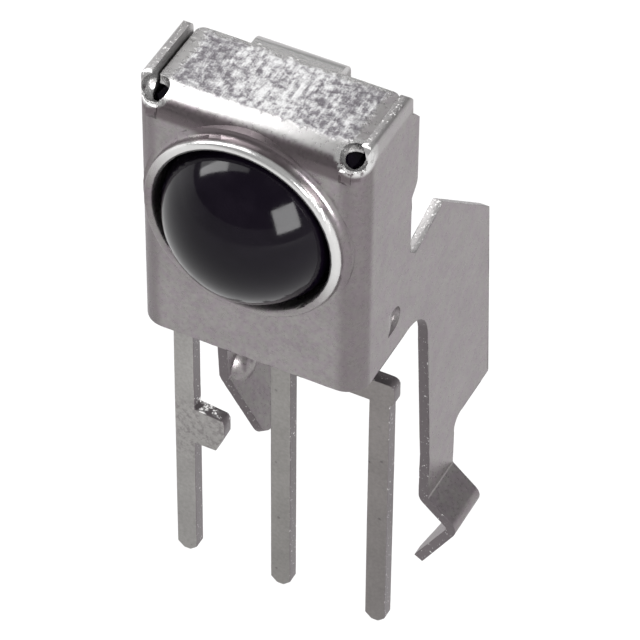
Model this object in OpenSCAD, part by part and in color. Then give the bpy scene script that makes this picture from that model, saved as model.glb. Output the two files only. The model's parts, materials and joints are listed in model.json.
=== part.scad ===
// Infrared receiver module: a black lens moulding on three leads, held in a folded shield case.
// Origin: middle of the lead row, on the face of the circuit board. +Z up, the lens looks along -Y.

/* [Shield case] */
// Thickness of the tinned steel sheet
sheet_t = 0.25; // [0.2:0.01:0.3]
// Width of the case across its side panels
case_w = 5.62; // [5.5:0.02:6.2]
// Height of the case from its lower edge to the top flap
case_h = 6.95; // [6.8:0.05:7.6]
// Outside radius of the two upright front bends
side_bend_r = 0.6; // [0.45:0.05:0.7]
// Outside radius of the bend between front and top flap
top_bend_r = 0.65; // [0.5:0.05:0.7]
// Height of the side panels above the top flap
side_rise = 0.22; // [0.1:0.01:0.5]
// Front face to the rear edge of the side panels
side_d = 2.47; // [2.3:0.01:2.7]
// Slit between the top flap and each side panel
flap_slit = 0.08; // [0.06:0.01:0.2]
// Front face to the rear edge of the side panels' raised crest
crest_d = 2.4; // [2.2:0.01:2.46]
// Radius of the crest's rear corner
crest_r = 0.2; // [0.05:0.01:0.22]
// Radius of the crest's front corner
brow_r = 0.28; // [0.1:0.02:0.3]
// Radius that shearing left on the crest's outer edge
roll_r = 0.15; // [0.05:0.01:0.2]
// Front face to the rear edge of the top flap
flap_d = 2.52; // [2.4:0.01:2.7]
// Radius of the flap's rear corners
flap_corner_r = 0.2; // [0.1:0.01:0.3]
// Diameter of the round relief in each upper front corner
relief_d = 0.66; // [0.5:0.02:0.7]
// Distance of the relief's centre from the front and the side
relief_in = 0.39; // [0.36:0.01:0.5]

/* [Retaining tabs] */
// Straight run of the tabs behind the panels before they fold
tab_run = 0.2; // [0.05:0.01:0.3]
// Outside radius of the tab folds behind the moulding
tab_bend_r = 0.35; // [0.3:0.01:0.45]
// Width of the tab folded down from the flap
flap_tab_w = 2.2; // [1.5:0.05:2.4]
// Lens axis to the middle of the flap tab, toward the left
flap_tab_x = 0.1; // [0:0.02:0.2]
// Reach of the flap tab below its fold
flap_tab_l = 0.85; // [0.5:0.05:1.2]
// Height of the two side tabs
side_tab_h = 2.5; // [2:0.05:2.6]
// Top of the flap down to the upper edge of the side tabs
side_tab_drop = 0.38; // [0.36:0.02:0.7]
// Slope cut across the upper and lower ends of the side tabs
side_tab_ramp = 0.6; // [0.3:0.05:0.8]
// Reach of the side tabs inward from their fold
side_tab_l = 0.55; // [0.3:0.05:0.8]

/* [Collar] */
// Lower edge of the case up to the lens axis
lens_z = 4.18; // [4:0.02:4.3]
// Inside radius of the collar round the lens
collar_r = 2.17; // [2.14:0.01:2.2]
// Height of the collar in front of the panel
collar_h = 0.36; // [0.3:0.02:0.5]
// Radius of the hollow between collar and panel
collar_root_r = 0.16; // [0.08:0.01:0.18]

/* [Wings and legs] */
// Front face to the rear end of the wings at the board
wing_d = 7.1; // [6.5:0.05:7.6]
// Lean of the wing's rear edge: how much further forward its upper end is
wing_lean = 0.36; // [0:0.02:0.5]
// Front face to the bottom of the notch between side panel and wing
wing_root_d = 2.75; // [2.72:0.01:3]
// Lower edge of the case up to the bottom of that notch
wing_root = 2.15; // [1.8:0.05:2.3]
// Lower edge of the case up to the wing's peak
wing_peak = 2.58; // [2.2:0.02:2.8]
// Front face to the wing's peak
wing_peak_d = 4.15; // [3.5:0.05:4.6]
// Lower edge of the case up to the foot of the wing's slanted edge
wing_drop = 0.28; // [0:0.02:1]
// Lower edge of the case down to the board, where the wings stand
stand_h = 5.45; // [4.5:0.05:6]
// Front face to the front edge of the legs
leg_d = 3.86; // [3.6:0.02:4]
// Lean of the leg's front edge: how much further forward its upper end is
leg_lean = 0.32; // [0:0.02:0.4]
// Width of each leg at the board
leg_w = 1.37; // [1.2:0.01:1.5]
// Radius of the notch between side panel and leg
notch_r = 1.1; // [0.6:0.05:1.2]
// Radius of the hollow between leg and wing foot
heel_r = 0.36; // [0.2:0.02:0.45]
// Middle radius of the folds in the legs
leg_fold_r = 0.21; // [0.18:0.01:0.3]

/* [Kinked right leg] */
// Board face down to the first fold
kink_z = 1.4; // [1:0.05:1.6]
// Angle of the kink's outward run from the upright
kink_out_a = 48; // [45:1:65]
// Length of the outward run
kink_out_l = 0.82; // [0.5:0.02:0.9]
// Angle of the kink's return from the upright
kink_in_a = 32; // [25:1:35]
// Length of the return
kink_in_l = 1.5; // [1.2:0.02:1.6]
// Second fold down to where the return's rear edge begins to taper
kink_taper_from = 0.1; // [0.05:0.05:0.4]
// Width of the return at its tip
kink_tip_w = 0.3; // [0.2:0.05:1]

/* [Folded left leg] */
// Height of the left leg's fold above the board
fold_z = 0.2; // [0.1:0.02:0.3]
// Angle of the left tongue from the upright
tongue_a = 34; // [25:1:40]
// Length of the left tongue
tongue_l = 1.78; // [1.4:0.02:1.9]
// Radius of the tongue's two lower corners
tongue_r = 0.26; // [0.2:0.02:0.5]
// Radius of the dimple pressed into the left leg's fold
dimple_r = 0.6; // [0.4:0.02:0.62]
// Height of the dimple above the fold's inner corner
dimple_h = 0.3; // [0.2:0.02:0.36]

/* [Side lances] */
// Lower edge of the case up to the middle of the lance
lance_z = 0.98; // [0.8:0.02:1.2]
// Front face to the free end of the lance
lance_d = 2.02; // [1.9:0.02:2.1]
// Width of the lance
lance_w = 0.66; // [0.5:0.02:0.7]
// Length of the lance
lance_l = 0.62; // [0.5:0.02:0.7]
// Depth of the lance at its free end
lance_depth = 0.14; // [0.08:0.01:0.16]

/* [Lens moulding] */
// Gap between the moulding and the sheet round it
body_gap = 0.03; // [0.02:0.01:0.05]
// Radius of the lens dome
lens_r = 2.18; // [2.1:0.01:2.2]
// Front face back to the centre of the dome
lens_centre_d = 0.6; // [0.5:0.02:0.8]
// Lower edge of the case up to the moulding's base
body_base = 0.12; // [0:0.02:0.3]
// Radius of the moulding's corners
body_corner_r = 0.35; // [0.2:0.05:0.5]
// Bevel of the moulding's front edges, inside the bends of the case
body_front_bevel = 0.3; // [0.26:0.02:0.4]
// Bevel of the moulding's rear edges
body_bevel = 0.16; // [0.1:0.02:0.25]

/* [Leads] */
// Distance between neighbouring leads
pitch = 2.54; // [2.54:0.01:2.6]
// Width of a lead
lead_w = 0.52; // [0.45:0.01:0.55]
// Thickness of the lead frame
lead_t = 0.35; // [0.3:0.01:0.4]
// Front face of the case to the front of the leads
lead_d = 1.6; // [1.5:0.02:1.7]
// Length of the leads below the board
lead_l = 3.68; // [3:0.05:4]
// Length of the pointed end of a lead
lead_tip = 0.16; // [0.1:0.02:0.2]
// Lead axis to lead axis where the leads leave the moulding
exit_pitch = 1.5; // [1.3:0.05:1.6]
// Lower edge of the case down to the top of the cranked shoulder
shoulder_top = 1.05; // [0.9:0.05:1.2]
// Height of the shoulder
shoulder_h = 0.68; // [0.5:0.02:0.8]
// Reach of the shoulder outside its lead
shoulder_out = 0.11; // [0.05:0.01:0.2]
// Radius of the shoulder's outer corners
shoulder_r = 0.17; // [0.1:0.01:0.24]
// Width of the stop lug on the output lead
lug_w = 0.79; // [0.5:0.01:0.9]
// Height of the stop lug
lug_h = 1.18; // [1:0.02:1.4]
// Width of the bevel at the stop lug's lower corner
lug_bevel = 0.23; // [0.1:0.01:0.3]
// Board face up to the base of the stop lug
lug_z = 0.12; // [0.05:0.01:0.2]

/* [Inside the moulding] */
// Width of the pad under the chips
pad_w = 2.6; // [2.4:0.05:2.7]
// Height of the pad under the chips
pad_h = 3.1; // [2.8:0.05:3.2]
// Lens axis down to the lower edge of the pad
pad_below = 2.15; // [2:0.05:2.3]
// Width of the bonding post above each outer lead
post_w = 0.8; // [0.6:0.05:0.9]
// Height of the bonding posts
post_h = 0.9; // [0.6:0.05:1]
// Gap between the posts and the pad above them
post_gap = 0.15; // [0.1:0.01:0.3]
// Side of the square photodiode
diode_w = 1.3; // [1:0.05:1.4]
// Width of the amplifier chip
amp_w = 1.1; // [0.8:0.05:1.2]
// Height of the amplifier chip
amp_h = 0.8; // [0.6:0.05:0.85]
// Thickness of the two chips
chip_t = 0.22; // [0.15:0.01:0.3]
// Lens axis down to the middle of the amplifier
amp_below = 1.35; // [1.3:0.01:1.4]
// Diameter of the bond wires
wire_d = 0.05; // [0.04:0.005:0.06]
// Edge of a chip or of the pad to the bonds on it
bond_in = 0.15; // [0.1:0.01:0.2]
// Top of a post down to its bond
post_bond = 0.3; // [0.2:0.05:0.5]
// Lens axis to each of the two wires from the photodiode
diode_bond_x = 0.3; // [0.2:0.05:0.4]

/* [Hidden] */
$fn = 48;

half_w = case_w / 2;
inner_half_w = half_w - sheet_t;
flap_half_w = inner_half_w - flap_slit;
side_top = case_h + side_rise;
tab_fold_d = side_d + tab_run;
tab_back = tab_fold_d + tab_bend_r;
tab_front = tab_back - sheet_t;
brow_d = side_bend_r / 2;
side_tab_top = case_h - side_tab_drop;
side_tab_z = side_tab_top - side_tab_h;
leg_back = leg_d + leg_w;
notch_d = leg_d - leg_lean - notch_r;
wing_flare = wing_root + wing_root_d - side_d;
body_front = sheet_t + body_gap;
body_back = tab_front - body_gap;
body_half_w = inner_half_w - body_gap;
body_top = case_h - sheet_t - body_gap;
lead_mid_d = lead_d + lead_t / 2;
shoulder_z = -shoulder_top - shoulder_h;
lug_out = lead_w / 2 + lug_w;
pad_z = lens_z - pad_below;
post_top = pad_z - post_gap;
chip_front = lead_d - chip_t;
amp_z = lens_z - amp_below;
leg_lap = 0.2;
dome_lap = 0.2;
collar_foot = 0.2;
dimple_lap = 0.03;
dimple_ball_r = (dimple_r * dimple_r + dimple_h * dimple_h) / (2 * dimple_h);
eps = 0.01;

// Puts a shape drawn from the lower front edge of the case into the part's own frame
module in_part_frame() {
    translate([0, -lead_mid_d, stand_h]) children();
}

// Turns a profile drawn in front view (X across, Y up) into a plate standing from y0 to y0 + depth
module upright(y0, depth) {
    translate([0, y0 + depth, 0]) rotate([90, 0, 0]) linear_extrude(depth) children();
}

// Turns a profile drawn in side view (X to the rear, Y up) into a plate from x0 to x0 + width
module sideways(x0, width) {
    translate([x0, 0, 0]) rotate([90, 0, 90]) linear_extrude(width) children();
}

// Quarter of a bent strip in plan, its centre at the origin, filling the quadrant x > 0, y < 0
module bend_quarter(outer_r) {
    difference() {
        intersection() {
            circle(outer_r);
            translate([0, -outer_r]) square(outer_r);
        }
        circle(outer_r - sheet_t);
    }
}

// What rounding takes off the two lower corners of the left tongue
module tongue_corners() {
    difference() {
        translate([-eps, -eps]) square([leg_w + 2 * eps, tongue_r + eps]);
        translate([tongue_r, -2 * eps]) square([leg_w - 2 * tongue_r, 2 * tongue_r]);
        for (x = [tongue_r, leg_w - tongue_r]) translate([x, tongue_r]) circle(tongue_r);
    }
}

// Turns what follows by the angle a about a centre at the distance r beside the run
module turned(a, r) {
    side = a > 0 ? 1 : -1;
    translate([side * r, 0]) rotate(a) translate([-side * r, 0]) children();
}

// Part of a ring of the sheet's thickness that turns a downward run by the angle a
module fold_arc(a, r) {
    side = a > 0 ? 1 : -1;
    reach = 2 * (r + sheet_t);
    difference() {
        intersection() {
            translate([side * r, 0]) circle(r + sheet_t / 2);
            translate([-reach, -reach]) square([2 * reach, reach]);
        }
        translate([side * r, 0]) circle(r - sheet_t / 2);
        turned(a, r) translate([-reach, -reach]) square([2 * reach, reach]);
    }
}

// A run of sheet seen on its edge: straight lengths, each followed by a fold of the given angle
module sheet_run(steps, i = 0) {
    len_i = steps[i][0];
    translate([-sheet_t / 2, -len_i]) square([sheet_t, len_i]);
    if (i < len(steps) - 1) {
        translate([0, -len_i]) {
            fold_arc(steps[i][1], leg_fold_r);
            turned(steps[i][1], leg_fold_r) sheet_run(steps, i + 1);
        }
    }
}

// Side panel with its wing, in side view
module side_outline() {
    difference() {
        union() {
            translate([side_bend_r, 0]) square([side_d - side_bend_r, side_tab_top]);
            translate([side_bend_r, wing_root]) square([crest_d - side_bend_r, side_top - wing_root - crest_r]);
            translate([side_bend_r, wing_root]) square([crest_d - side_bend_r - crest_r, side_top - wing_root]);
            translate([crest_d - crest_r, side_top - crest_r]) circle(crest_r);
            polygon([[side_bend_r, 0], [notch_d, 0], [notch_d, -notch_r], [notch_d + notch_r, -notch_r],
                     [leg_d, -stand_h], [wing_d, -stand_h], [wing_d - wing_lean, wing_drop],
                     [wing_peak_d, wing_peak], [wing_root_d, wing_root], [side_d, wing_flare],
                     [side_bend_r, wing_flare]]);
        }
        translate([notch_d, -notch_r]) circle(notch_r);
    }
}

// Right side in side view: the leg runs on below the board to its first fold
module right_side_outline() {
    side_outline();
    translate([leg_d, -stand_h - kink_z]) square([leg_w, kink_z + leg_w]);
    difference() {
        translate([leg_back - eps, -stand_h - heel_r]) square([heel_r + eps, heel_r + leg_w]);
        translate([leg_back + heel_r, -stand_h - heel_r]) circle(heel_r);
    }
}

// Left side in side view: cut off at the fold, with a round-ended slot that frees the leg from the wing
module left_side_outline() {
    difference() {
        side_outline();
        translate([leg_d - eps, -stand_h - eps]) square([leg_w + heel_r + eps, fold_z + eps]);
        translate([leg_back + heel_r / 2, -stand_h + fold_z]) circle(d = heel_r);
    }
}

// The wedge by which a lance is pushed in at its free rear end, measured from the panel's outer face
module lance_wedge() {
    a = atan(lance_depth / lance_l);
    rear = lance_d - lance_w / 2;
    intersection() {
        translate([half_w - lance_depth, 0, lance_z]) {
            translate([0, lance_d - lance_l, -lance_w / 2]) cube([lance_depth, lance_l - lance_w / 2, lance_w]);
            translate([0, rear, 0]) rotate([0, 90, 0]) cylinder(d = lance_w, h = lance_depth);
        }
        translate([half_w, lance_d - lance_l, lance_z - lance_w]) rotate([0, 0, a])
            cube([sheet_t, 2 * lance_l, 2 * lance_w]);
    }
}

// Section of the collar: X is the radius, Y points to the rear
module collar_profile() {
    lip_r = sheet_t / 2;
    foot_r = collar_r + sheet_t + collar_root_r;
    translate([collar_r, -collar_h + lip_r]) square([sheet_t, collar_h - lip_r + sheet_t]);
    translate([collar_r + lip_r, -collar_h + lip_r]) circle(lip_r);
    difference() {
        translate([collar_r + lip_r, -collar_root_r]) square([foot_r - collar_r - lip_r, collar_root_r + collar_foot]);
        translate([foot_r, -collar_root_r]) circle(collar_root_r);
    }
}

// Collar raised round the lens hole
module collar() {
    translate([0, 0, lens_z]) rotate([-90, 0, 0]) rotate_extrude($fn = 96) collar_profile();
}

// Front panel and top flap with the hole that the collar lines
module front_and_top() {
    difference() {
        union() {
            upright(0, sheet_t) translate([-half_w + side_bend_r, 0])
                square([case_w - 2 * side_bend_r, case_h - top_bend_r]);
            top_flap();
        }
        translate([0, -sheet_t, lens_z]) rotate([-90, 0, 0])
            cylinder(r = collar_r + sheet_t / 2, h = sheet_t + top_bend_r, $fn = 96);
    }
}

// Top flap with its front bend and the tab folded down behind the moulding
module top_flap() {
    corner_x = flap_half_w - flap_corner_r;
    corner_y = flap_d - flap_corner_r;
    sideways(-flap_half_w, 2 * flap_half_w)
        translate([top_bend_r, case_h - top_bend_r]) rotate(180) bend_quarter(top_bend_r);
    translate([0, 0, case_h - sheet_t]) linear_extrude(sheet_t) {
        translate([-flap_half_w, top_bend_r]) square([2 * flap_half_w, corner_y - top_bend_r]);
        translate([-corner_x, top_bend_r]) square([2 * corner_x, flap_d - top_bend_r]);
        for (x = [-corner_x, corner_x]) translate([x, corner_y]) circle(flap_corner_r);
    }
    sideways(-flap_tab_x - flap_tab_w / 2, flap_tab_w) {
        translate([top_bend_r, case_h - sheet_t]) square([tab_fold_d - top_bend_r, sheet_t]);
        translate([tab_fold_d, case_h - tab_bend_r]) rotate(90) bend_quarter(tab_bend_r);
        translate([tab_front, case_h - tab_bend_r - flap_tab_l]) square([sheet_t, flap_tab_l]);
    }
}

// One side, drawn on the right: upright bend, the given panel, lance and side tab
module side_wall() {
    translate([half_w - side_bend_r, side_bend_r, 0]) linear_extrude(side_top) bend_quarter(side_bend_r);
    sideways(inner_half_w, sheet_t) children();
    translate([-sheet_t, 0, 0]) lance_wedge();
    intersection() {
        translate([0, 0, side_tab_z]) linear_extrude(side_tab_h) {
            translate([inner_half_w, side_d - sheet_t]) square([sheet_t, tab_run + sheet_t]);
            translate([half_w - tab_bend_r, tab_fold_d]) rotate(90) bend_quarter(tab_bend_r);
            translate([half_w - tab_bend_r - side_tab_l, tab_front]) square([side_tab_l, sheet_t]);
        }
        sideways(0, case_w) polygon([
            [side_d - sheet_t, side_tab_z], [side_d, side_tab_z], [tab_back, side_tab_z + side_tab_ramp],
            [tab_back, side_tab_top - side_tab_ramp], [side_d, side_tab_top], [side_d - sheet_t, side_tab_top]]);
    }
}

// Cuts that one side shares with the other: corner relief, crest's front and outer edge, lance
module side_cuts() {
    translate([half_w - relief_in, relief_in, case_h - relief_d / 6]) sphere(d = relief_d);
    sideways(half_w - side_bend_r, side_bend_r + eps) {
        translate([-eps, case_h - relief_d / 2]) square([brow_d + eps, side_rise + relief_d]);
        difference() {
            translate([brow_d - eps, side_top - brow_r]) square([brow_r + eps, brow_r + eps]);
            translate([brow_d + brow_r, side_top - brow_r]) circle(brow_r);
        }
    }
    upright(-eps, crest_d + 2 * eps) difference() {
        translate([half_w - roll_r, side_top - roll_r]) square(roll_r + eps);
        translate([half_w - roll_r, side_top - roll_r]) circle(roll_r);
    }
    lance_wedge();
}

// Right leg below the board: out through the hole, then back under the board with a tapering rear edge
module kinked_leg() {
    top_x = half_w - sheet_t / 2;
    turns_x = leg_fold_r * (1 + cos(kink_in_a) - 2 * cos(kink_out_a));
    turns_z = leg_fold_r * (sin(kink_in_a) + 2 * sin(kink_out_a));
    return_x = top_x + turns_x + kink_out_l * sin(kink_out_a);
    return_z = -stand_h - kink_z - turns_z - kink_out_l * cos(kink_out_a);
    difference() {
        upright(leg_d, leg_w) translate([top_x, -stand_h - kink_z + leg_lap])
            sheet_run([[leg_lap, kink_out_a], [kink_out_l, -kink_out_a - kink_in_a], [kink_in_l, 0]]);
        translate([return_x, leg_d, return_z]) rotate([0, kink_in_a, 0]) sideways(-sheet_t, 2 * sheet_t)
            polygon([[leg_w + eps, eps - kink_taper_from], [kink_tip_w, -kink_in_l - eps],
                     [leg_w + eps, -kink_in_l - eps]]);
    }
}

// Left leg at the board: a tongue folded inward, its lower corners rounded
module folded_leg() {
    fold_top = -stand_h + fold_z;
    turn_x = leg_fold_r * (1 - cos(tongue_a));
    turn_z = leg_fold_r * sin(tongue_a);
    difference() {
        upright(leg_d, leg_w) translate([-half_w + sheet_t / 2, fold_top + leg_lap])
            sheet_run([[leg_lap, tongue_a], [tongue_l, 0]]);
        translate([-half_w + sheet_t / 2 + turn_x, leg_d, fold_top - turn_z]) rotate([0, -tongue_a, 0])
            sideways(-sheet_t, 2 * sheet_t) translate([0, -tongue_l]) tongue_corners();
    }
}

// Puts a shape into the inner corner of the left leg's fold, its axis halfway between leg and tongue
module in_fold() {
    corner_z = -stand_h + fold_z - (leg_fold_r - sheet_t / 2) * tan(tongue_a / 2);
    translate([-inner_half_w, leg_d + leg_w / 2, corner_z]) rotate([0, 90 - tongue_a / 2, 0]) children();
}

// Dimple that stiffens the fold, raised on the inner side; it starts inside the sheet
module fold_dimple() {
    in_fold() rotate_extrude() intersection() {
        translate([0, dimple_h - dimple_ball_r]) circle(dimple_ball_r);
        translate([0, -dimple_lap]) square(dimple_ball_r);
    }
}

module shield_case() {
    color("silver") in_part_frame() difference() {
        union() {
            front_and_top();
            collar();
            side_wall() right_side_outline();
            mirror([1, 0, 0]) side_wall() left_side_outline();
            kinked_leg();
            folded_leg();
            fold_dimple();
        }
        side_cuts();
        mirror([1, 0, 0]) side_cuts();
        in_fold() translate([0, 0, dimple_h - dimple_ball_r]) sphere(r = dimple_ball_r - sheet_t);
    }
}

// Section of the moulding, which runs from one side at -a to the other at b, with its front at Y = body_front
module body_section(a, b) {
    polygon([[a + body_front_bevel, body_front], [b - body_front_bevel, body_front],
             [b, body_front + body_front_bevel], [b, body_back - body_bevel], [b - body_bevel, body_back],
             [a + body_bevel, body_back], [a, body_back - body_bevel], [a, body_front + body_front_bevel]]);
}

// Block of the moulding with rounded corners and bevelled front and rear edges
module body_block() {
    w = 2 * body_half_w;
    h = body_top - body_base;
    r = body_corner_r;
    intersection() {
        upright(body_front, body_back - body_front) translate([-body_half_w, body_base]) {
            translate([r, 0]) square([w - 2 * r, h]);
            translate([0, r]) square([w, h - 2 * r]);
            for (x = [r, w - r], y = [r, h - r]) translate([x, y]) circle(r);
        }
        translate([0, 0, body_base]) linear_extrude(h) body_section(-body_half_w, body_half_w);
        translate([body_half_w, 0, 0]) rotate([0, -90, 0]) linear_extrude(w) body_section(body_base, body_top);
    }
}

module lens_moulding() {
    color([0.07, 0.06, 0.09]) in_part_frame() difference() {
        union() {
            body_block();
            intersection() {
                translate([0, lens_centre_d, lens_z]) sphere(r = lens_r, $fn = 96);
                translate([-lens_r, lens_centre_d - lens_r, lens_z - lens_r])
                    cube([2 * lens_r, body_front + dome_lap - lens_centre_d + lens_r, 2 * lens_r]);
            }
        }
        output_frame();
        ground_frame();
        supply_frame();
        diode_block();
        amp_block();
        all_wires();
        translate([-sheet_t, 0, 0]) lance_wedge();
        mirror([1, 0, 0]) translate([-sheet_t, 0, 0]) lance_wedge();
    }
}

// Lower end of a lead in front view, its axis at x
module lead_shank(x, top) {
    tip = -stand_h - lead_l;
    translate([x, 0]) polygon([
        [-lead_w / 2, top], [-lead_w / 2, tip + lead_tip], [-lead_w / 6, tip],
        [lead_w / 6, tip], [lead_w / 2, tip + lead_tip], [lead_w / 2, top]]);
}

// Outer lead on the right: shank, cranked shoulder, neck and bonding post
module cranked_lead_outline() {
    neck_x = exit_pitch - lead_w / 2;
    out_x = pitch + lead_w / 2 + shoulder_out;
    r = shoulder_r;
    lead_shank(pitch, shoulder_z + r);
    translate([neck_x, shoulder_z]) square([out_x - r - neck_x, shoulder_h]);
    translate([neck_x, shoulder_z + r]) square([out_x - neck_x, shoulder_h - 2 * r]);
    for (z = [r, shoulder_h - r]) translate([out_x - r, shoulder_z + z]) circle(r);
    translate([neck_x, shoulder_z]) square([lead_w, post_top - shoulder_z]);
    translate([exit_pitch - post_w / 2, post_top - post_h]) square([post_w, post_h]);
}

module output_frame() {
    upright(lead_d, lead_t) {
        mirror([1, 0]) cranked_lead_outline();
        translate([-pitch, -stand_h + lug_z]) polygon([
            [0, 0], [lug_out - lug_bevel, 0], [lug_out, lug_bevel * 2.4],
            [lug_out, lug_h - lug_bevel], [lug_out - lug_bevel / 4, lug_h - lug_bevel / 2], [0, lug_h]]);
    }
}

module supply_frame() {
    upright(lead_d, lead_t) cranked_lead_outline();
}

module ground_frame() {
    upright(lead_d, lead_t) {
        lead_shank(0, pad_z + eps);
        translate([-pad_w / 2, pad_z]) square([pad_w, pad_h]);
    }
}

module lead_output() {
    color("gainsboro") in_part_frame() output_frame();
}

module lead_ground() {
    color("gainsboro") in_part_frame() ground_frame();
}

module lead_supply() {
    color("gainsboro") in_part_frame() supply_frame();
}

module diode_block() {
    translate([-diode_w / 2, chip_front, lens_z - diode_w / 2]) cube([diode_w, chip_t, diode_w]);
}

module amp_block() {
    translate([-amp_w / 2, chip_front, amp_z - amp_h / 2]) cube([amp_w, chip_t, amp_h]);
}

module photodiode_chip() {
    color("midnightblue") in_part_frame() diode_block();
}

module amplifier_chip() {
    color("dimgray") in_part_frame() amp_block();
}

// A looped wire that rises in front of the chips, from one point to another on the front view
module wire_loop(from, to, drop) {
    run = to - from;
    span = norm(run);
    turn = atan2(run[1], run[0]);
    translate([from[0], chip_front, from[1]]) rotate([0, -turn, 0]) {
        translate([span / 2, 0, 0]) rotate([180, 0, 0])
            rotate_extrude(angle = 180, $fn = 32) translate([span / 2, 0]) circle(d = wire_d, $fn = 16);
        if (drop > 0)
            translate([span, 0, 0]) rotate([-90, 0, 0]) cylinder(d = wire_d, h = drop, $fn = 16);
    }
}

module all_wires() {
    diode_z = lens_z - diode_w / 2 + bond_in;
    amp_x = amp_w / 2 - bond_in;
    amp_in = amp_h / 2 - bond_in;
    for (side = [-1, 1]) {
        wire_loop([side * diode_bond_x, diode_z], [side * diode_bond_x, amp_z + amp_in], 0);
        wire_loop([side * amp_x, amp_z], [side * exit_pitch, post_top - post_bond], chip_t);
    }
    wire_loop([0, amp_z - amp_in], [0, pad_z + bond_in], chip_t);
}

module bond_wires() {
    color("gold") in_part_frame() all_wires();
}

shield_case();
lens_moulding();
lead_output();
lead_ground();
lead_supply();
photodiode_chip();
amplifier_chip();
bond_wires();
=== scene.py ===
"""Looks of an infrared receiver module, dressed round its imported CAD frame."""

import functools
import json
import logging
import math
from dataclasses import dataclass, field
from enum import Enum

import bmesh
import bpy
from mathutils import Matrix, Vector, noise
from mathutils.bvhtree import BVHTree

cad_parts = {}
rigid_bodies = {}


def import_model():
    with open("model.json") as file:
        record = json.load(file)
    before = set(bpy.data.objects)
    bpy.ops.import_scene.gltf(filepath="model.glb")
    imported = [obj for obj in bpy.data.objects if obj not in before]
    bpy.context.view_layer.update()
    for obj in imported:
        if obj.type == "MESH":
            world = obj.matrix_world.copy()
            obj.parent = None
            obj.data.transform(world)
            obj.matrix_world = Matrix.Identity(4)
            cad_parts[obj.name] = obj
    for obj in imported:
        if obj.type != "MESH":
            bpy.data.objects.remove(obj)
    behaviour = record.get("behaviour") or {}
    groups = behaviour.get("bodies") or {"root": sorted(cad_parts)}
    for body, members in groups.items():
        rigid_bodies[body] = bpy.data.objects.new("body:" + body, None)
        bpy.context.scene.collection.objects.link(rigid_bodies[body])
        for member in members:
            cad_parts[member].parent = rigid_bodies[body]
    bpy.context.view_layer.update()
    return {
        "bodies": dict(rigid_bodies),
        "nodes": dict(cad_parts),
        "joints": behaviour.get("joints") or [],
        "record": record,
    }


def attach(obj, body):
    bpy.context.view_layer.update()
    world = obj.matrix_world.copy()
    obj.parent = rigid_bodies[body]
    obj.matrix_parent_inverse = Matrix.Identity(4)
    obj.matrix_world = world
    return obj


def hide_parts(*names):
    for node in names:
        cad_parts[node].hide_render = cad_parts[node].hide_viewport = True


Node = bpy.types.Node
Socket = bpy.types.NodeSocket
Colour = tuple[float, float, float]
Place = tuple[float, float, float]
Span = tuple[float, float]

MM = 0.001
BODY = "root"
# Name of the face attribute that is 1 where a press has cut the metal
SHEARED = "sheared"
# Places on the case in millimetres: height of the lens axis and middle of the right lance
LENS_AXIS_Z = 9.63
LANCE: Place = (2.81, 0.05, 6.43)

log = logging.getLogger("receiver")


class Slot(Enum):
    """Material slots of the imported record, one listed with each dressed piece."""

    SHEET = "tinned_sheet"
    EPOXY = "black_epoxy"
    LEAD = "tinned_lead"


class Kind(Enum):
    """Kinds of socket that the shared effects have."""

    NUMBER = "NodeSocketFloat"
    VECTOR = "NodeSocketVector"


@dataclass(frozen=True)
class Grain:
    """Fineness of a noise in features per millimetre, with its detail and its roughness."""

    fineness: float
    detail: float = 3.0
    roughness: float = 0.55


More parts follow.
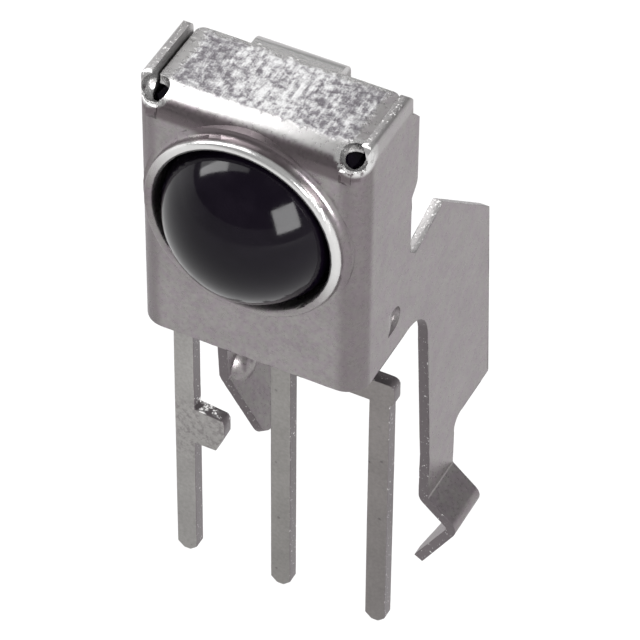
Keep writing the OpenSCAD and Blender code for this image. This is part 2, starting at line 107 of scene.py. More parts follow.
class NodeMaker:
    """Small helper that adds nodes to a tree and joins them."""

    def __init__(self, tree: bpy.types.NodeTree) -> None:
        """Keeps the tree that the nodes go into."""
        self.tree = tree

    def feed(self, value: object, socket: Socket) -> None:
        """Links a socket to an input, or sets the input to a plain value.

        Args:
            value: the socket, or the plain value.
            socket: the input.
        """
        if isinstance(value, bpy.types.NodeSocket):
            self.tree.links.new(value, socket)
        else:
            socket.default_value = value

    def add(self, kind: str, **inputs: object) -> Node:
        """Adds a node and sets or links its inputs.

        Args:
            kind: Blender's class name of the node, without its ShaderNode prefix.
            inputs: values or sockets by input name, with spaces written as underscores; a name in
                lower case is a property of the node itself.

        Returns:
            The new node.
        """
        node = self.tree.nodes.new("ShaderNode" + kind)
        for name, value in inputs.items():
            if name[0].islower():
                setattr(node, name, value)
            else:
                self.feed(value, node.inputs[name.replace("_", " ")])
        return node

    def maths(self, operation: str, *values: object) -> Socket:
        """Works out one number from others with a Math node.

        Args:
            operation: Blender's name of the operation.
            values: numbers or sockets, in the node's own order.

        Returns:
            The result.
        """
        node = self.add("Math", operation=operation)
        for value, socket in zip(values, node.inputs):
            self.feed(value, socket)
        return node.outputs[0]

    def times(self, *values: object) -> Socket:
        """Multiplies two or more numbers."""
        return functools.reduce(lambda one, other: self.maths("MULTIPLY", one, other), values)

    def plus(self, *values: object) -> Socket:
        """Adds two or more numbers."""
        return functools.reduce(lambda one, other: self.maths("ADD", one, other), values)

    def most(self, *values: object) -> Socket:
        """Takes the largest of two or more numbers."""
        return functools.reduce(lambda one, other: self.maths("MAXIMUM", one, other), values)

    def distance(self, place: Socket, centre: Place) -> Socket:
        """Measures how far a place is from a fixed one.

        Args:
            place: the place, a vector.
            centre: the fixed place.

        Returns:
            The distance.
        """
        node = self.add("VectorMath", operation="DISTANCE", Vector=place)
        node.inputs[1].default_value = centre
        return node.outputs["Value"]

    def ramp(self, value: Socket, span: Span, result: Span = (0.0, 1.0)) -> Socket:
        """Maps a value smoothly from one range to another, and holds it there.

        Args:
            value: the socket that is mapped.
            span: values that give the first and the second result; the first may be the larger one.
            result: the two results.

        Returns:
            The mapped value.
        """
        (low, out_low), (high, out_high) = sorted(zip(span, result))
        node = self.add("MapRange", interpolation_type="SMOOTHSTEP", Value=value)
        ends = {"From Min": low, "From Max": high, "To Min": out_low, "To Max": out_high}
        for name, number in ends.items():
            node.inputs[name].default_value = number
        return node.outputs["Result"]

    def tint(self, factor: object, base: object, other: object, mode: str = "MIX") -> Socket:
        """Mixes two colours.

        Args:
            factor: how much of the second colour is laid over the first.
            base: first colour, three numbers or a socket.
            other: second colour.
            mode: Blender's name of the way they are mixed.

        Returns:
            The mixed colour.
        """
        node = self.add("Mix", data_type="RGBA", blend_type=mode)
        self.feed(factor, node.inputs["Factor"])
        for value, socket in ((base, node.inputs[6]), (other, node.inputs[7])):
            self.feed((*value, 1.0) if isinstance(value, tuple) else value, socket)
        return node.outputs[2]

    def level(self, factor: object, base: object, other: object) -> Socket:
        """Mixes two numbers.

        Args:
            factor: how much of the second number counts.
            base: first number or socket.
            other: second one.

        Returns:
            The mixed number.
        """
        node = self.add("Mix", data_type="FLOAT")
        for value, socket in zip((factor, base, other), node.inputs[0:1] + node.inputs[2:4]):
            self.feed(value, socket)
        return node.outputs[0]

    def noise(self, place: Socket, grain: Grain) -> Socket:
        """Adds a noise over a place in millimetres.

        Args:
            place: where it is read.
            grain: its fineness, detail and roughness.

        Returns:
            The noise, about 0.5 on average.
        """
        node = self.add("TexNoise", Vector=place, Scale=grain.fineness, Detail=grain.detail,
                        Roughness=grain.roughness)
        return node.outputs["Fac"]

    def millimetres(self, stretch: Place = (1.0, 1.0, 1.0)) -> Socket:
        """Gives the object's own coordinates in millimetres.

        Args:
            stretch: factor along each axis.

        Returns:
            The coordinates.
        """
        coords = self.add("TexCoord")
        scale = tuple(factor / MM for factor in stretch)
        return self.add("Mapping", Vector=coords.outputs["Object"], Scale=scale).outputs["Vector"]

    def effect(self, tree: bpy.types.NodeTree, **inputs: object) -> Node:
        """Places a shared effect.

        Args:
            tree: the effect's node group.
            inputs: values or sockets by input name.

        Returns:
            The group's node.
        """
        node = self.add("Group", node_tree=tree)
        for name, value in inputs.items():
            self.feed(value, node.inputs[name])
        return node


class Effects:
    """Surface effects that more than one material uses, each a node group built once."""

    MOTTLE = Grain(11.0, 2.0, 0.6)
    CLOUD = Grain(0.9, 4.0, 0.6)
    HUE = Grain(4.0, 3.0, 0.7)
    MOTTLE_SPAN: Span = (0.2, 0.8)
    CLOUD_SPAN: Span = (0.25, 0.75)
    CUT_GRAIN = Grain(17.0, 2.0, 0.65)
    CUT_RELIEF = Grain(16.0, 2.0, 0.6)
    PITTED_CELLS: Span = (0.62, 0.68)
    PIT_REACH: Span = (0.16, 0.08)

    def __init__(self) -> None:
        """Builds the three effects."""
        self.rolled = self.rolled_tin()
        self.shear = self.sheared_edge()
        self.pitting = self.pits()

    @staticmethod
    def start(name: str, inputs: dict[str, Kind],
              outputs: tuple[str, ...]) -> tuple[bpy.types.NodeTree, NodeMaker, Node, Node]:
        """Starts a node group.

        Args:
            name: the group's name.
            inputs: kind of socket by input name.
            outputs: names of the outputs, which are all plain values.

        Returns:
            The group, the maker of its nodes, its input node and its output node.
        """
        tree = bpy.data.node_groups.new(name, "ShaderNodeTree")
        for label, kind in inputs.items():
            tree.interface.new_socket(name=label, in_out="INPUT", socket_type=kind.value)
        for label in outputs:
            tree.interface.new_socket(name=label, in_out="OUTPUT", socket_type=Kind.NUMBER.value)
        return tree, NodeMaker(tree), tree.nodes.new("NodeGroupInput"), tree.nodes.new("NodeGroupOutput")

    def rolled_tin(self) -> bpy.types.NodeTree:
        """Builds the fine mottling, soft clouds and changing hue of rolled tin plate.

        Returns:
            The node group.
        """
        tree, make, source, sink = self.start(
            "rolled_tin", {"Vector": Kind.VECTOR, "Mottle": Kind.NUMBER, "Cloud": Kind.NUMBER},
            ("Shade", "Hue", "Height"))
        place = source.outputs["Vector"]
        mottle = make.noise(place, self.MOTTLE)
        cloud = make.noise(place, self.CLOUD)
        fine = make.times(source.outputs["Mottle"], make.ramp(mottle, self.MOTTLE_SPAN, (-1.0, 1.0)))
        broad = make.times(source.outputs["Cloud"], make.ramp(cloud, self.CLOUD_SPAN, (-1.0, 1.0)))
        make.feed(make.plus(fine, broad, 1.0), sink.inputs["Shade"])
        make.feed(make.noise(place, self.HUE), sink.inputs["Hue"])
        make.feed(mottle, sink.inputs["Height"])
        return tree

    def sheared_edge(self) -> bpy.types.NodeTree:
        """Builds the fine grains and the torn relief of edges that a press has cut.

        Returns:
            The node group.
        """
        tree, make, source, sink = self.start("sheared_edge", {"Vector": Kind.VECTOR}, ("Grain", "Height"))
        place = source.outputs["Vector"]
        make.feed(make.noise(place, self.CUT_GRAIN), sink.inputs["Grain"])
        make.feed(make.noise(place, self.CUT_RELIEF), sink.inputs["Height"])
        return tree

    def pits(self) -> bpy.types.NodeTree:
        """Builds scattered small pits, in about a third of the cells.

        Returns:
            The node group.
        """
        tree, make, source, sink = self.start(
            "pits", {"Vector": Kind.VECTOR, "Spacing": Kind.NUMBER}, ("Pit",))
        cells = make.add("TexVoronoi", Vector=source.outputs["Vector"], Scale=source.outputs["Spacing"])
        parts = make.add("SeparateColor", Color=cells.outputs["Color"])
        chosen = make.ramp(parts.outputs["Red"], self.PITTED_CELLS)
        near = make.ramp(cells.outputs["Distance"], self.PIT_REACH)
        make.feed(make.times(chosen, near), sink.inputs["Pit"])
        return tree


def start_material(name: str) -> tuple[bpy.types.Material, NodeMaker, Node]:
    """Starts a node material.

    Args:
        name: the material's name.

    Returns:
        The material, the maker of its nodes and its Principled shader.
    """
    material = bpy.data.materials.new(name)
    material.use_nodes = True
    tree = material.node_tree
    tree.nodes.clear()
    make = NodeMaker(tree)
    shader = make.add("BsdfPrincipled")
    output = make.add("OutputMaterial")
    make.feed(shader.outputs["BSDF"], output.inputs["Surface"])
    return material, make, shader


@dataclass
class Skin:
    """A surface while it is built up, each property a socket or a plain number; relief is in millimetres."""

    colour: Socket
    rough: Socket
    relief: Socket
    metallic: object

    def join(self, make: NodeMaker, shader: Node) -> None:
        """Feeds the finished surface to its shader.

        Args:
            make: the maker of the material's nodes.
            shader: the material's Principled shader.
        """
        bump = make.add("Bump", Height=self.relief, Strength=1.0, Distance=MM)
        for value, name in ((self.colour, "Base Color"), (self.rough, "Roughness"),
                            (self.metallic, "Metallic"), (bump.outputs["Normal"], "Normal")):
            make.feed(value, shader.inputs[name])


@dataclass(frozen=True)
class ShearedTin:
    """What the cut edges of sheet and leads have in common."""

    dark: Colour = (0.155, 0.138, 0.145)
    pale: Colour = (0.36, 0.35, 0.35)
    # pale tone of the painted glints on the cut grains
    bright: Colour = (0.90, 0.89, 0.88)
    grains: Span = (0.66, 0.72)
    extra_glints: float = 0.20
    glint_metallic: float = 0.15
    rough: float = 0.42
    relief: float = 0.008

    def lay(self, make: NodeMaker, effects: Effects, pale_and_glinting: Socket, skin: Skin) -> None:
        """Lays the sheared look over the faces marked as cut, with painted glints: pale, less metallic
        grains.

        Args:
            make: the maker of the material's nodes.
            effects: the shared effects.
            pale_and_glinting: where the cuts are paler and carry more painted glints.
            skin: the surface, which is changed.
        """
        cut = make.add("Attribute", attribute_name=SHEARED).outputs["Fac"]
        edge = make.effect(effects.shear, Vector=make.millimetres())
        grain = make.plus(edge.outputs["Grain"], make.times(pale_and_glinting, self.extra_glints))
        # painted glints: grains above the span take the pale glint tone and lose most of their metallic
        glint = make.ramp(grain, self.grains)
        grains = make.tint(glint, make.tint(pale_and_glinting, self.dark, self.pale), self.bright)
        skin.colour = make.tint(cut, skin.colour, grains)
        skin.rough = make.level(cut, skin.rough, self.rough)
        skin.relief = make.level(cut, skin.relief, make.times(edge.outputs["Height"], self.relief))
        skin.metallic = make.level(make.times(cut, glint), skin.metallic, self.glint_metallic)


@dataclass(frozen=True)
class ScuffedPatch:
    """Bare scuffed metal on the flat of the top flap, inside a wavering border."""

    sides: Span = (2.26, 2.10)
    front: Span = (-1.22, -1.06)
    rear: Span = (0.70, 0.60)
    height: Span = (12.36, 12.39)
    border: Grain = Grain(3.0, 4.0, 0.7)
    border_span: Span = (0.2, 0.8)
    waver: Span = (-0.12, 0.12)
    streak_stretch: Place = (1.0, 0.18, 1.0)
    streaks: Grain = Grain(11.0, 5.0, 0.7)
    streak_share: float = 0.45
    blots: Grain = Grain(5.5, 6.0, 0.74)
    middle_x: float = -0.1
    middle_reach: Span = (1.6, 0.4)
    middle_lift: float = 0.05
    dark: Colour = (0.21, 0.195, 0.215)
    bare: Colour = (0.38, 0.375, 0.385)
    bare_span: Span = (0.38, 0.60)
    scraped: Colour = (0.70, 0.70, 0.70)
    scraped_span: Span = (0.46, 0.66)
    rough_span: Span = (0.4, 0.6)
    rough: Span = (0.30, 0.55)
    metallic_span: Span = (0.42, 0.60)
    metallic: Span = (0.75, 0.15)
    relief: float = 0.02

    def mask(self, make: NodeMaker, place: Node) -> Socket:
        """Masks the patch.

        Args:
            make: the maker of the material's nodes.
            place: the split coordinates in millimetres.

        Returns:
            The mask.
        """
        waver = make.ramp(make.noise(make.millimetres(), self.border), self.border_span, self.waver)
        across = make.plus(make.maths("ABSOLUTE", place.outputs["X"]), waver)
        along = make.plus(place.outputs["Y"], waver)
        return make.times(make.ramp(across, self.sides), make.ramp(place.outputs["Z"], self.height),
                          make.times(make.ramp(along, self.front), make.ramp(along, self.rear)))

    def lay(self, make: NodeMaker, place: Node, skin: Skin) -> None:
        """Lays the scuffs over the patch.

        Args:
            make: the maker of the material's nodes.
            place: the split coordinates in millimetres.
            skin: the surface, which is changed.
        """
        patch = self.mask(make, place)
        streaks = make.noise(make.millimetres(self.streak_stretch), self.streaks)
        blots = make.noise(make.millimetres(), self.blots)
        middle = make.maths("ABSOLUTE", make.maths("SUBTRACT", place.outputs["X"], self.middle_x))
        scrape = make.plus(make.times(streaks, self.streak_share),
                           make.times(blots, 1.0 - self.streak_share),
                           make.ramp(middle, self.middle_reach, (0.0, self.middle_lift)))
        bare = make.tint(make.ramp(blots, self.bare_span), self.dark, self.bare)
        scuff = make.tint(make.ramp(scrape, self.scraped_span), bare, self.scraped)
        skin.colour = make.tint(patch, skin.colour, scuff)
        skin.rough = make.level(patch, skin.rough, make.ramp(scrape, self.rough_span, self.rough))
        skin.relief = make.plus(skin.relief, make.times(scrape, patch, self.relief))
        metallic = make.ramp(scrape, self.metallic_span, self.metallic)
        skin.metallic = make.level(patch, skin.metallic, metallic)


@dataclass(frozen=True)
class TinPlate:
    """What the case and the leads share: mottled plate with pits, in a tone and perhaps a cast over it."""

    name: str
    tone: Colour
    cast: Colour | None = None
    cast_span: Span = (0.40, 0.62)
    metallic: float = 0.80
    roughness: float = 0.36
    rough_share: Span = (0.85, 1.20)
    mottle: float = 0.12
    cloud: float = 0.08
    pit_spacing: float = 3.0
    plate_relief: float = 0.002
    pit_relief: float = -0.010

    def plate(self, make: NodeMaker, effects: Effects) -> tuple[Skin, Socket]:
        """Lays the plain plate.

        Args:
            make: the maker of the material's nodes.
            effects: the shared effects.

        Returns:
            The surface, and the mask of its pits.
        """
        here = make.millimetres()
        rolled = make.effect(effects.rolled, Vector=here, Mottle=self.mottle, Cloud=self.cloud)
        pit = make.effect(effects.pitting, Vector=here, Spacing=self.pit_spacing).outputs["Pit"]
        tone = self.tone
        if self.cast:
            tone = make.tint(make.ramp(rolled.outputs["Hue"], self.cast_span), self.tone, self.cast)
        least, most = self.rough_share
        skin = Skin(
            colour=make.tint(1.0, tone, rolled.outputs["Shade"], "MULTIPLY"),
            rough=make.ramp(rolled.outputs["Height"], Effects.MOTTLE_SPAN,
                            (self.roughness * least, self.roughness * most)),
            relief=make.plus(make.times(rolled.outputs["Height"], self.plate_relief),
                             make.times(pit, self.pit_relief)),
            metallic=self.metallic)
        return skin, pit


@dataclass(frozen=True)
class SheetTin(TinPlate):
    """Tin of the case: satin panels, a scuffed flap, and painted shade, top light, highlights and cut-edge
    glints.
    """

    name: str = "tinned_sheet"
    tone: Colour = (0.278, 0.265, 0.260)
    cast: Colour = (0.268, 0.237, 0.255)
    metallic: float = 0.82
    roughness: float = 0.30
    mottle: float = 0.10
    cloud: float = 0.06
    pit_spacing: float = 2.2
    plate_relief: float = 0.0016
    pit_relief: float = -0.002
    edge_tint: Colour = (0.75, 0.73, 0.74)
    # painted shade of the bends' dark reflections, also the darker tone of the kinked foot
    shade_and_foot_tone: Colour = (0.105, 0.085, 0.092)
    bend_x: Span = (2.12, 2.42)
    bend_y: Span = (-1.18, -1.36)
    bend_shade: float = 0.50
    brow_y: Span = (-1.50, -1.62)
    brow_z: Span = (11.70, 11.86)
    brow_shade: float = 0.85
    foot_z: Span = (-1.2, -1.8)
    foot_darkening: float = 0.30
    # paler tone of the top face: painted light from above
    top_light: Colour = (0.52, 0.515, 0.51)
    top_y: Span = (-1.58, -1.46)
    top_z: Span = (12.10, 12.26)
    margin_x: Span = (2.26, 2.12)
    margin_light: Span = (0.35, 0.75)
    margin_y: Span = (-1.02, -1.14)
    band_light: Span = (0.35, 0.80)
    # pale tone of the painted highlights, with a lower roughness below
    bright: Colour = (0.64, 0.635, 0.63)
    highlight_rough: float = 0.20
    rear_y: Span = (0.45, 0.90)
    lip_y: Span = (-1.96, -2.03)
    lip_slant: float = 0.5
    lip_up: Span = (8.9, 10.7)
    hole: Place = (2.42, -1.385, 12.29)
    hole_rim: Span = (0.50, 0.40)
    flecks: Grain = Grain(6.0, 3.0, 0.7)
    fleck_span: Span = (0.38, 0.50)
    lance_rim: Span = (0.46, 0.42)
    lance_x: Span = (2.797, 2.785)
    lance_shine: float = 0.20
    # cuts from here up are paler and carry more painted glints
    pale_cut_z: Span = (4.5, 6.0)
    extra_glints: float = 0.06
    glint_metallic: float = 0.3

    def painted_shade_and_dark_foot(self, make: NodeMaker, place: Node) -> Socket:
        """Masks painted shade in the bends, for their dark reflections, and the kinked foot, darker towards
        the bottom.

        Args:
            make: the maker of the material's nodes.
            place: the split coordinates in millimetres.

        Returns:
            The mask.
        """
        across = make.maths("ABSOLUTE", place.outputs["X"])
        upright = make.times(make.ramp(across, self.bend_x), make.ramp(place.outputs["Y"], self.bend_y))
        brow = make.times(make.ramp(place.outputs["Z"], self.brow_z),
                          make.ramp(place.outputs["Y"], self.brow_y))
        foot = make.ramp(place.outputs["Z"], self.foot_z)
        return make.most(make.times(upright, self.bend_shade), make.times(brow, self.brow_shade),
                         make.times(foot, self.foot_darkening))

    def lit_top(self, make: NodeMaker, place: Node) -> Socket:
        """Masks the top face, paler with painted light from above, least so along its right margin behind
        the front band.

        Args:
            make: the maker of the material's nodes.
            place: the split coordinates in millimetres.

        Returns:
            The mask.
        """
        margin = make.most(make.ramp(place.outputs["X"], self.margin_x, self.margin_light),
                           make.ramp(place.outputs["Y"], self.margin_y, self.band_light))
        return make.times(make.ramp(place.outputs["Y"], self.top_y),
                          make.ramp(place.outputs["Z"], self.top_z), margin)

    def painted_highlights(self, make: NodeMaker, place: Node, top: Socket) -> Socket:
        """Masks the painted highlights: on the collar's lip, the holes' rims, the lances and the flap's
        rear.

        Args:
            make: the maker of the material's nodes.
            place: the split coordinates in millimetres.
            top: mask of the top face with its painted light.

        Returns:
            The mask.
        """
        rear = make.times(make.ramp(place.outputs["Y"], self.rear_y), top)
        upper = make.plus(place.outputs["Z"], make.times(place.outputs["X"], self.lip_slant))
        lip = make.times(make.ramp(place.outputs["Y"], self.lip_y), make.ramp(upper, self.lip_up))
        across = make.maths("ABSOLUTE", place.outputs["X"])
        mirrored = make.add("CombineXYZ", X=across, Y=place.outputs["Y"], Z=place.outputs["Z"])
        folded = mirrored.outputs["Vector"]
        flecks = make.ramp(make.noise(make.millimetres(), self.flecks), self.fleck_span)
        rims = make.times(make.ramp(make.distance(folded, self.hole), self.hole_rim), flecks)
        lances = make.times(make.ramp(make.distance(folded, LANCE), self.lance_rim),
                            make.ramp(across, self.lance_x, (0.0, self.lance_shine)))
        return make.most(lip, rims, lances, rear)

    def make(self, effects: Effects) -> bpy.types.Material:
        """Builds the material.

        Args:
            effects: the shared effects.

        Returns:
            The material.
        """
        material, make, shader = start_material(self.name)
        place = make.add("SeparateXYZ", Vector=make.millimetres())
        skin, _ = self.plate(make, effects)
        # painted shade on the bends, and the kinked foot darker towards the bottom
        skin.colour = make.tint(self.painted_shade_and_dark_foot(make, place), skin.colour, self.shade_and_foot_tone)
        # painted light on the top face
        top = self.lit_top(make, place)
        skin.colour = make.tint(top, skin.colour, self.top_light)
        ScuffedPatch().lay(make, place, skin)
        cut = ShearedTin(extra_glints=self.extra_glints, glint_metallic=self.glint_metallic)
        # cut edges, paler and with more painted glints towards the top
        cut.lay(make, effects, make.ramp(place.outputs["Z"], self.pale_cut_z), skin)
        # painted highlights on the collar's lip, the holes' rims, the lances and the flap's rear
        highlights = self.painted_highlights(make, place, top)
        skin.colour = make.tint(highlights, skin.colour, self.bright)
        skin.rough = make.level(highlights, skin.rough, self.highlight_rough)
        shader.inputs["Specular Tint"].default_value = (*self.edge_tint, 1.0)
        skin.join(make, shader)
        return material


@dataclass(frozen=True)
class LeadTin(TinPlate):
    """Tin plate of a lead: flat and pitted, darker toward the tip, perhaps with stains and painted glints
    round a lug.
    """

    tone: Colour = (0.315, 0.305, 0.295)
    tip_z: Span = (3.0, -3.0)
    tip_share: float = 0.85
    pit_tone: Colour = (0.10, 0.09, 0.09)
    pit_depth: float = 0.55
    lug_stain_and_sheen: float = 0.0
    stain: Colour = (0.13, 0.11, 0.12)
    stain_z: float = 0.5
    stain_reach: Span = (1.5, 0.4)
    stain_depth: float = 0.55
    stains: Grain = Grain(6.0, 4.0, 0.7)
    stain_span: Span = (0.46, 0.62)
    lug_top: Span = (1.18, 1.25)
    lug_over: Span = (1.46, 1.38)
    # blotches where highlights are painted on the lug's upper edge
    glint_blots: Grain = Grain(4.5, 2.0)
    glint_blot_span: Span = (0.42, 0.52)

    def stained(self, make: NodeMaker, place: Node) -> Socket:
        """Masks the stains round the lug.

        Args:
            make: the maker of the material's nodes.
            place: the split coordinates in millimetres.

        Returns:
            The mask.
        """
        off = make.maths("ABSOLUTE", make.maths("SUBTRACT", place.outputs["Z"], self.stain_z))
        near = make.ramp(off, self.stain_reach, (0.0, self.stain_depth * self.lug_stain_and_sheen))
        return make.times(near, make.ramp(make.noise(make.millimetres(), self.stains), self.stain_span))

    def painted_lug_glints(self, make: NodeMaker, place: Node) -> Socket:
        """Masks blotches on the lug's upper edge, where highlights are painted as paler, glinting cuts.

        Args:
            make: the maker of the material's nodes.
            place: the split coordinates in millimetres.

        Returns:
            The mask.
        """
        edge = make.times(make.ramp(place.outputs["Z"], self.lug_top),
                          make.ramp(place.outputs["Z"], self.lug_over))
        glint_blots = make.ramp(make.noise(make.millimetres(), self.glint_blots), self.glint_blot_span, (0.0, self.lug_stain_and_sheen))
        return make.times(edge, glint_blots)

    def make(self, effects: Effects) -> bpy.types.Material:
        """Builds the material.

        Args:
            effects: the shared effects.

        Returns:
            The material.
        """
        material, make, shader = start_material(self.name)
        place = make.add("SeparateXYZ", Vector=make.millimetres())
        skin, pit = self.plate(make, effects)
        fade = make.ramp(place.outputs["Z"], self.tip_z, (1.0, self.tip_share))
        skin.colour = make.tint(1.0, skin.colour, fade, "MULTIPLY")
        skin.colour = make.tint(make.times(pit, self.pit_depth), skin.colour, self.pit_tone)
        skin.colour = make.tint(self.stained(make, place), skin.colour, self.stain)
        # painted glints on the lug's upper edge, more and paler where it is set
        ShearedTin().lay(make, effects, self.painted_lug_glints(make, place), skin)
        skin.join(make, shader)
        return material


@dataclass(frozen=True)
class BlackEpoxy:
    """Polished black moulding compound that lets only infrared through."""

    name: str = "black_epoxy"
    tone: Colour = (0.0028, 0.0014, 0.0045)
    haze: Colour = (0.0050, 0.0032, 0.0070)
    clouds: Grain = Grain(1.3, 4.0, 0.6)
    cloud_span: Span = (0.4, 0.7)
    polish: Grain = Grain(6.0, 3.0)
    polish_span: Span = (0.3, 0.7)
    rough: Span = (0.08, 0.12)
    ior: float = 1.50
    specular: float = 0.18

    def make(self) -> bpy.types.Material:
        """Builds the material.

        Returns:
            The material.
        """
        material, make, shader = start_material(self.name)
        here = make.millimetres()
        haze = make.ramp(make.noise(here, self.clouds), self.cloud_span)
        polish = make.ramp(make.noise(here, self.polish), self.polish_span, self.rough)
        make.feed(make.tint(haze, self.tone, self.haze), shader.inputs["Base Color"])
        make.feed(polish, shader.inputs["Roughness"])
        shader.inputs["IOR"].default_value = self.ior
        shader.inputs["Specular IOR Level"].default_value = self.specular
        return material


@dataclass(frozen=True)
class Polished:
    """Bare silicon or gold, with a faint change of tone and gloss over it."""

    name: str
    tone: Colour
    other: Colour
    metallic: float
    roughness: float
    grain: Grain
    tone_span: Span = (0.35, 0.65)
    rough_span: Span = (0.3, 0.7)
    rough_share: Span = (0.8, 1.3)

    def make(self) -> bpy.types.Material:
        """Builds the material.

        Returns:
            The material.
        """
        material, make, shader = start_material(self.name)
        grain = make.noise(make.millimetres(), self.grain)
        colour = make.tint(make.ramp(grain, self.tone_span), self.tone, self.other)
        least, most = self.rough_share
        rough = make.ramp(grain, self.rough_span, (self.roughness * least, self.roughness * most))
        make.feed(colour, shader.inputs["Base Color"])
        make.feed(rough, shader.inputs["Roughness"])
        shader.inputs["Metallic"].default_value = self.metallic
        return material


@dataclass
class CadCopy:
    """A CAD node's shape with rounded edges, torn cuts and smooth faces, in metres and degrees."""

    node: str
    slot: Slot
    edge_r: float = 0.0
    thickness: float = 0.0
    burr: float = 0.0
    burr_step: float = 0.09 * MM
    burr_fineness: float = 5.0 / MM
    merge: float = 0.0005 * MM
    flat_a: float = 0.4
    sharp_a: float = 35.0
    smooth_a: float = 32.0
    probe_in: float = 0.015 * MM
    probe_deep: float = 0.002 * MM
    through_share: float = 1.3
    collar_y: float = -1.45 * MM
    collar_r: float = 3.4 * MM
    lance_r: float = 0.45 * MM
    least_way: float = 0.3

    def is_pressed(self, place: Vector) -> bool:
        """Tells whether a place lies on the drawn collar or on a lance, which count as uncut.

        Args:
            place: the place.

        Returns:
            True on the collar and the lances.
        """
        off_axis = math.hypot(place.x, place.z - LENS_AXIS_Z * MM)
        folded = Vector((abs(place.x), place.y, place.z))
        on_lance = (folded - Vector(LANCE) * MM).length < self.lance_r
        return on_lance or (place.y < self.collar_y and off_axis < self.collar_r)

    def mark_cuts(self, bm: bmesh.types.BMesh) -> None:
        """Marks the faces that look along the sheet and not through it, which a press has cut.

        The ray through the metal starts just inside the middle of a face's longest edge, because the middle
        of a face with a hollow outline may lie off the face.

        Args:
            bm: the mesh, which gets a face attribute of 0 or 1.
        """
        layer = bm.faces.layers.float.new(SHEARED)
        tree = BVHTree.FromBMesh(bm)
        for face in bm.faces:
            longest = max(face.loops, key=lambda loop: loop.edge.calc_length())
            start, end = longest.vert.co, longest.link_loop_next.vert.co
            inward = face.normal.cross(end - start).normalized()
            probe = (start + end) / 2 + (inward * self.probe_in - face.normal * self.probe_deep)
            through = tree.ray_cast(probe, -face.normal)[3]
            cut = through is not None and through > self.through_share * self.thickness
            face[layer] = 1.0 if cut and not self.is_pressed(face.calc_center_bounds()) else 0.0

    def tear_cuts(self, bm: bmesh.types.BMesh) -> None:
        """Splits the rims of the cut faces and moves them a little along the cut, inside the node's own box.

        Args:
            bm: the mesh, with its cut faces marked.
        """
        layer = bm.faces.layers.float[SHEARED]
        box = [(min(v.co[i] for v in bm.verts), max(v.co[i] for v in bm.verts)) for i in range(3)]
        rims = [e for e in bm.edges if len({round(f[layer]) for f in e.link_faces}) == 2
                and e.calc_length() > 2 * self.burr_step]
        for edge in rims:
            if edge.is_valid:
                bmesh.ops.subdivide_edges(bm, edges=[edge], cuts=int(edge.calc_length() / self.burr_step))
        for vert in bm.verts:
            cut = [f.normal for f in vert.link_faces if f[layer] > 0.5]
            plain = [f.normal for f in vert.link_faces if f[layer] < 0.5]
            if not cut or len(plain) != 1:
                continue
            way = sum(cut, Vector())
            way -= plain[0] * way.dot(plain[0])
            if way.length > self.least_way:
                wave = noise.noise(vert.co * self.burr_fineness)
                torn = vert.co + way.normalized() * self.burr * wave
                vert.co = [min(max(value, low), high) for value, (low, high) in zip(torn, box)]

    def build(self, frame: dict) -> bpy.types.Object:
        """Copies the node's mesh, merges it, rounds its sharp edges and roughens its cuts.


        Returns:
            The dressed piece, which stands for the node.
        """
        bm = bmesh.new()
        bm.from_mesh(frame["nodes"][self.node].data)
        bmesh.ops.remove_doubles(bm, verts=bm.verts, dist=self.merge)
        bmesh.ops.dissolve_limit(bm, angle_limit=math.radians(self.flat_a), verts=bm.verts, edges=bm.edges)
        if self.edge_r > 0:
            least = math.radians(self.sharp_a)
            sharp = [e for e in bm.edges if len(e.link_faces) == 2 and e.calc_face_angle() > least]
            bmesh.ops.bevel(bm, geom=sharp, offset=self.edge_r, offset_type="OFFSET", affect="EDGES",
                            segments=2, profile=0.5, material=-1, clamp_overlap=True)
        bm.normal_update()
        if self.thickness > 0:
            self.mark_cuts(bm)
            self.tear_cuts(bm)
        mesh = bpy.data.meshes.new(self.node + "_look")
        bm.to_mesh(mesh)
        bm.free()
        mesh.shade_smooth()
        mesh.set_sharp_from_angle(angle=math.radians(self.smooth_a))
        piece = bpy.data.objects.new(self.node + "_look", mesh)
        bpy.context.scene.collection.objects.link(piece)
        even = piece.modifiers.new("even_normals", "WEIGHTED_NORMAL")
        even.keep_sharp = True
        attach(piece, BODY)
        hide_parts(self.node)
        return piece


@dataclass(frozen=True)
class Lamp:
    """Rectangular lamp: its middle and size in metres, its turn and the brightness of its face."""

    name: str
    centre: Vector
    size: Span
    radiance: float
    turn: Matrix

    def build(self) -> None:
        """Adds the lamp, which shines down where it isn't turned."""
        width, height = self.size
        data = bpy.data.lights.new(self.name, "AREA")
        data.shape = "RECTANGLE"
        data.size, data.size_y = width, height
        data.energy = self.radiance * math.pi * width * height
        light = bpy.data.objects.new(self.name, data)
        light.matrix_world = Matrix.Translation(self.centre) @ self.turn
        bpy.context.scene.collection.objects.link(light)


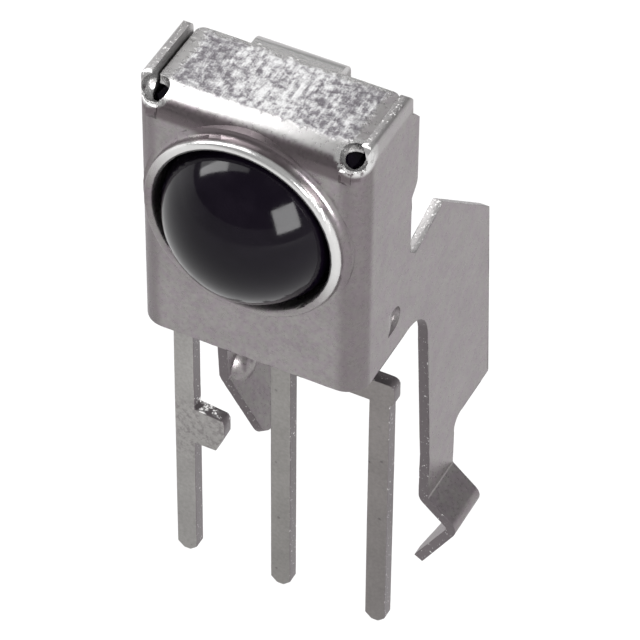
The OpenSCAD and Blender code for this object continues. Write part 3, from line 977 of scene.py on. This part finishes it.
@dataclass
class Studio:
    """Pale floor with an upturned rim, soft lights and the photograph's camera.

    Lengths are in metres, apart from the lens and its sensor in millimetres, and angles in degrees.
    """

    azimuth: float = 26.55
    elevation: float = 44.5
    roll: float = 0.55
    distance: float = 100.37 * MM
    aim: Vector = field(default_factory=lambda: Vector((1.457, -1.074, 6.69)) * MM)
    lens: float = 253.1
    sensor: float = 36.0
    near: float = 5 * MM
    far: float = 10.0
    floor_z: float = -20 * MM
    floor_r: float = 0.55
    floor_sides: int = 64
    rim_r: float = 0.25
    rim_steps: int = 4
    floor_tone: Colour = (0.36, 0.36, 0.36)
    floor_glow: float = 0.55
    room: float = 0.30
    overhead_turn: float = 9.3
    key_way: Vector = field(default_factory=lambda: Vector((0.80, -0.448, 0.399)))
    key_distance: float = 0.35

    def camera(self) -> None:
        """Places the camera by its two angles, its roll and the point in the middle of the picture."""
        az, el, roll = (math.radians(v) for v in (self.azimuth, self.elevation, self.roll))
        ahead = Vector((-math.sin(az) * math.cos(el), math.cos(az) * math.cos(el), -math.sin(el)))
        level = Vector((math.cos(az), math.sin(az), 0.0))
        upright = level.cross(ahead)
        right = level * math.cos(roll) + upright * math.sin(roll)
        up = right.cross(ahead)
        data = bpy.data.cameras.new("camera")
        data.sensor_width = self.sensor
        data.lens = self.lens
        data.clip_start = self.near
        data.clip_end = self.far
        camera = bpy.data.objects.new("camera", data)
        turn = Matrix((right, up, -ahead)).transposed().to_4x4()
        camera.matrix_world = Matrix.Translation(self.aim - ahead * self.distance) @ turn
        bpy.context.scene.collection.objects.link(camera)
        bpy.context.scene.camera = camera

    def floor(self) -> None:
        """Lays the pale round floor with its upturned rim."""
        bm = bmesh.new()
        bmesh.ops.create_circle(bm, cap_ends=True, radius=self.floor_r, segments=self.floor_sides)
        rim = [e for e in bm.edges if e.is_boundary]
        for step in range(1, self.rim_steps + 1):
            turn = math.radians(90 * step / self.rim_steps)
            grown = bmesh.ops.extrude_edge_only(bm, edges=rim)["geom"]
            rim = [g for g in grown if isinstance(g, bmesh.types.BMEdge)]
            out = (self.floor_r + self.rim_r * math.sin(turn)) / self.floor_r
            up = self.rim_r * (1 - math.cos(turn))
            for vert in {v for e in rim for v in e.verts}:
                flat = Vector((vert.co.x, vert.co.y)).normalized() * self.floor_r * out
                vert.co = Vector((flat.x, flat.y, up))
        bmesh.ops.translate(bm, verts=bm.verts, vec=(0.0, 0.0, self.floor_z))
        mesh = bpy.data.meshes.new("floor")
        bm.to_mesh(mesh)
        bm.free()
        mesh.shade_smooth()
        mesh.materials.append(self.floor_material())
        floor = bpy.data.objects.new("floor", mesh)
        bpy.context.scene.collection.objects.link(floor)

    def floor_material(self) -> bpy.types.Material:
        """Builds the floor's material, matt, with a glow that shows where it is seen or mirrored.

        Returns:
            The material.
        """
        material = bpy.data.materials.new("pale_floor")
        material.use_nodes = True
        tree = material.node_tree
        tree.nodes.clear()
        make = NodeMaker(tree)
        matt = make.add("BsdfDiffuse", Color=(*self.floor_tone, 1.0))
        glow = make.add("Emission", Color=(1.0, 1.0, 1.0, 1.0), Strength=self.floor_glow)
        both = make.add("AddShader")
        make.feed(matt.outputs["BSDF"], both.inputs[0])
        make.feed(glow.outputs["Emission"], both.inputs[1])
        path = make.add("LightPath").outputs
        seen = make.add("MixShader")
        direct = make.most(path["Is Camera Ray"], path["Is Glossy Ray"], path["Is Transmission Ray"])
        make.feed(direct, seen.inputs["Fac"])
        make.feed(matt.outputs["BSDF"], seen.inputs[1])
        make.feed(both.outputs["Shader"], seen.inputs[2])
        output = make.add("OutputMaterial")
        make.feed(seen.outputs["Shader"], output.inputs["Surface"])
        return material

    def world(self) -> None:
        """Fills the room with a plain soft light."""
        world = bpy.data.worlds.new("room")
        world.use_nodes = True
        tree = world.node_tree
        tree.nodes.clear()
        make = NodeMaker(tree)
        room = make.add("Background", Color=(1.0, 1.0, 1.0, 1.0), Strength=self.room)
        output = make.add("OutputWorld")
        make.feed(room.outputs["Background"], output.inputs["Surface"])
        bpy.context.scene.world = world

    def lamps(self) -> list[Lamp]:
        """Lists the lamps: a window and a ceiling lamp at one slant, and a key lamp that faces the object.

        Returns:
            The lamps.
        """
        slant = Matrix.Rotation(math.radians(self.overhead_turn), 4, "Z")
        key = self.key_way * self.key_distance
        facing = (-key).to_track_quat("-Z", "Y").to_matrix().to_4x4()
        return [
            Lamp("window", Vector((-0.54, -0.105, 0.39)), (0.60, 0.12), 10.0, slant),
            Lamp("ceiling", Vector((-0.476, 0.046, 0.40)), (0.80, 0.40), 3.0, slant),
            Lamp("key", key, (0.175, 0.18), 14.0, facing),
        ]

    def build(self) -> None:
        """Sets up the whole studio."""
        self.camera()
        self.world()
        self.floor()
        for lamp in self.lamps():
            lamp.build()
        bpy.context.scene.view_settings.view_transform = "Standard"


def main() -> None:
    """Builds the dressed receiver round the frame."""
    logging.basicConfig(level=logging.INFO, format="%(message)s")
    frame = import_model()
    Studio().build()

    effects = Effects()
    # The leads share one tin; the ground and supply leads get darker tones that paint the shade falling on
    # them.
    output = LeadTin("tin_output", lug_stain_and_sheen=1.0)
    ground = LeadTin("tin_ground_painted_shade", tone=(0.26, 0.25, 0.24))
    supply = LeadTin("tin_supply_painted_shade", tone=(0.21, 0.195, 0.19))
    sheet = dict(edge_r=0.025 * MM, thickness=0.25 * MM, burr=0.016 * MM)
    lead = dict(edge_r=0.03 * MM, thickness=0.35 * MM, burr=0.010 * MM)
    for copy, finish in (
        (CadCopy("shield_case", Slot.SHEET, **sheet), SheetTin().make(effects)),
        (CadCopy("lead_output", Slot.LEAD, **lead), output.make(effects)),
        (CadCopy("lead_ground", Slot.LEAD, **lead), ground.make(effects)),
        (CadCopy("lead_supply", Slot.LEAD, **lead), supply.make(effects)),
        (CadCopy("lens_moulding", Slot.EPOXY), BlackEpoxy().make()),
    ):
        piece = copy.build(frame)
        piece.data.materials.clear()
        piece.data.materials.append(finish)
        log.info("%s: %d faces", piece.name, len(piece.data.polygons))

    silicon = Polished("silicon", tone=(0.05, 0.05, 0.08), other=(0.09, 0.08, 0.13), metallic=0.2,
                       roughness=0.12, grain=Grain(6.0, 4.0, 0.6)).make()
    gold = Polished("gold_wire", tone=(0.80, 0.55, 0.22), other=(0.85, 0.62, 0.30), metallic=1.0,
                    roughness=0.2, grain=Grain(12.0, 4.0, 0.6)).make()
    for name, finish in (("photodiode_chip", silicon), ("amplifier_chip", silicon), ("bond_wires", gold)):
        for holder in frame["nodes"][name].material_slots:
            holder.material = finish
        log.info("%s: material %s", name, finish.name)


if __name__ == "__main__":
    main()
